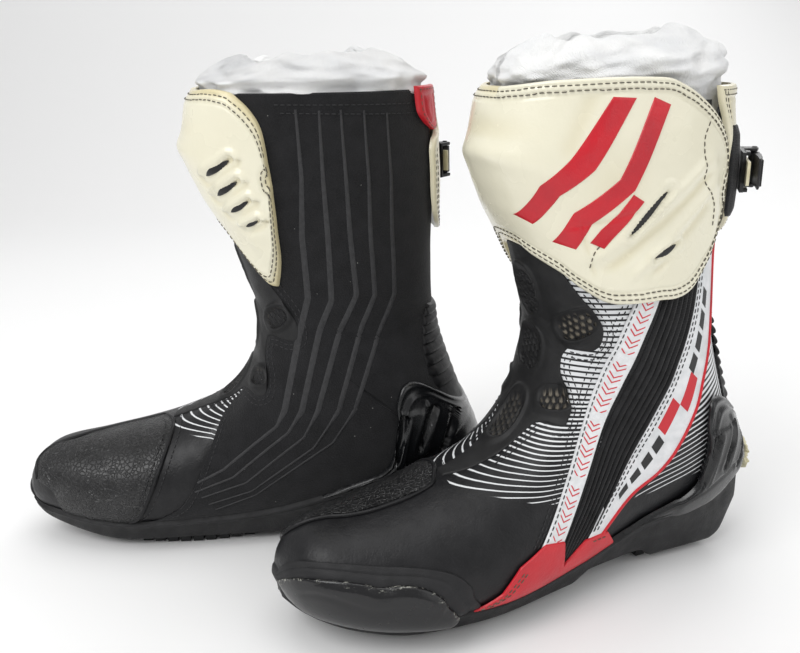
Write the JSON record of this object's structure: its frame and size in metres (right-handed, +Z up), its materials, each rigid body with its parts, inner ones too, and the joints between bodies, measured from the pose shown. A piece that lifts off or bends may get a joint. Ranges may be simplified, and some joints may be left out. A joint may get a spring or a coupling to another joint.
{
  "type": "riding boots",
  "caption": "Pair of tall motorcycle riding boots with ivory shin and calf armour, a flexing ankle, a swinging shin flap, a ratchet buckle, a zip and a padded inner bootie.",
  "frame": {"origin": "middle of the pair's bounding box on the ground", "axes": "+Z up; the left boot's toe points to -Y and its lateral side to +X; the right boot stands at -X, ahead and toed outward"},
  "size_m": [0.2789, 0.431, 0.3249],
  "materials": {
    "rubber": "moulded, matt",
    "tread_rubber": "matt",
    "board": "fibre board",
    "leather": "fine-grained black microfibre",
    "suede": "black suede",
    "textured_pad": "crackle-textured",
    "slider": "scuffed, satin",
    "screw": "brushed",
    "hard_shell": "satin",
    "ivory": "glossy ivory polyurethane",
    "red": "satin red",
    "moulded": "moulded, vented",
    "stretch": "ribbed stretch cloth",
    "zip": "coil zip",
    "buckle": "satin nylon",
    "knit": "white padded knit",
    "bootie_cloth": "mesh cloth",
    "ivory_strap": "nylon",
    "zip_metal": "black painted"
  },
  "bodies": {
    "left_foot": {"left_outsole": "rubber", "left_tread": "tread_rubber", "left_insole_board": "board", "left_vamp": "leather", "left_quarter_lateral": "leather", "left_quarter_medial": "suede", "left_shift_pad": "textured_pad", "left_toe_slider": "slider", "left_slider_screw": "screw", "left_heel_counter": "hard_shell", "left_heel_insert": "ivory", "left_side_patch": "red"},
    "left_shaft": {"left_lateral_panel": "leather", "left_medial_panel": "suede", "left_shin_plate": "ivory", "left_calf_plate": "ivory", "left_calf_cap": "red", "left_stretch_panel": "stretch", "left_zip_chain": "zip", "left_buckle_base": "buckle", "left_strap_pad": "stretch", "left_bootie_collar": "knit", "left_bootie": "bootie_cloth", "left_front_flex": "moulded", "left_side_flex": "leather", "left_rear_flex": "leather"},
    "left_shin_flap": {"left_shin_flap": "ivory"},
    "left_buckle_lever": {"left_buckle_lever": "buckle"},
    "left_ladder_strap": {"left_ladder_strap": "ivory_strap"},
    "left_zip_slider": {"left_zip_slider": "zip_metal"},
    "right_foot": {"right_outsole": "rubber", "right_tread": "tread_rubber", "right_insole_board": "board", "right_vamp": "leather", "right_quarter_lateral": "leather", "right_quarter_medial": "suede", "right_shift_pad": "textured_pad", "right_toe_slider": "slider", "right_slider_screw": "screw", "right_heel_counter": "hard_shell", "right_heel_insert": "ivory", "right_side_patch": "red"},
    "right_shaft": {"right_lateral_panel": "leather", "right_medial_panel": "suede", "right_shin_plate": "ivory", "right_calf_plate": "ivory", "right_calf_cap": "red", "right_stretch_panel": "stretch", "right_zip_chain": "zip", "right_buckle_base": "buckle", "right_strap_pad": "stretch", "right_bootie_collar": "knit", "right_bootie": "bootie_cloth", "right_front_flex": "moulded", "right_side_flex": "leather", "right_rear_flex": "leather"},
    "right_shin_flap": {"right_shin_flap": "ivory"},
    "right_buckle_lever": {"right_buckle_lever": "buckle"},
    "right_ladder_strap": {"right_ladder_strap": "ivory_strap"},
    "right_zip_slider": {"right_zip_slider": "zip_metal"}
  },
  "joints": [
    {"name": "left_ankle_flex", "type": "hinge", "parent": "left_foot", "child": "left_shaft", "pos_m": [0.0805, 0.1214, 0.118], "axis": [1, 0, 0], "range_deg": [-8, 15], "stiffness_Nm_per_rad": 12, "deforming": ["left_front_flex", "left_side_flex", "left_rear_flex", "left_bootie"]},
    {"name": "left_flap_hinge", "type": "hinge", "parent": "left_shaft", "child": "left_shin_flap", "pos_m": [0.0805, 0.0284, 0.235], "axis": [0, 0, -1], "range_deg": [0, 45], "stiffness_Nm_per_rad": 0.3},
    {"name": "left_lever_hinge", "type": "hinge", "parent": "left_shaft", "child": "left_buckle_lever", "pos_m": [0.10738, 0.19388, 0.2408], "axis": [0, 0, 1], "range_deg": [0, 100]},
    {"name": "left_strap_slide", "type": "slide", "parent": "left_shaft", "child": "left_ladder_strap", "axis": [-0.7692, 0.639, 0], "range_m": [0, 0.012]},
    {"name": "left_zip_slide", "type": "slide", "parent": "left_shaft", "child": "left_zip_slider", "axis": [-0.0143, 0.0139, -0.9998], "range_m": [0, 0.026]},
    {"name": "right_ankle_flex", "type": "hinge", "parent": "right_foot", "child": "right_shaft", "pos_m": [-0.0315, -0.0106, 0.118], "axis": [0.9336, -0.3584, 0], "range_deg": [-8, 15], "stiffness_Nm_per_rad": 12, "deforming": ["right_front_flex", "right_side_flex", "right_rear_flex", "right_bootie"]},
    {"name": "right_flap_hinge", "type": "hinge", "parent": "right_shaft", "child": "right_shin_flap", "pos_m": [-0.06483, -0.09742, 0.235], "axis": [0, 0, 1], "range_deg": [0, 45], "stiffness_Nm_per_rad": 0.3},
    {"name": "right_lever_hinge", "type": "hinge", "parent": "right_shaft", "child": "right_buckle_lever", "pos_m": [-0.03062, 0.0667, 0.2408], "axis": [0, 0, -1], "range_deg": [0, 100]},
    {"name": "right_strap_slide", "type": "slide", "parent": "right_shaft", "child": "right_ladder_strap", "axis": [0.9471, 0.3209, 0], "range_m": [0, 0.012]},
    {"name": "right_zip_slide", "type": "slide", "parent": "right_shaft", "child": "right_zip_slider", "axis": [0.0183, 0.0079, -0.9998], "range_m": [0, 0.026]},
    {"name": "right_lift", "type": "slide", "parent": "left_foot", "child": "right_foot", "axis": [0, 0, 1], "range_m": [0, 0.4]}
  ]
}
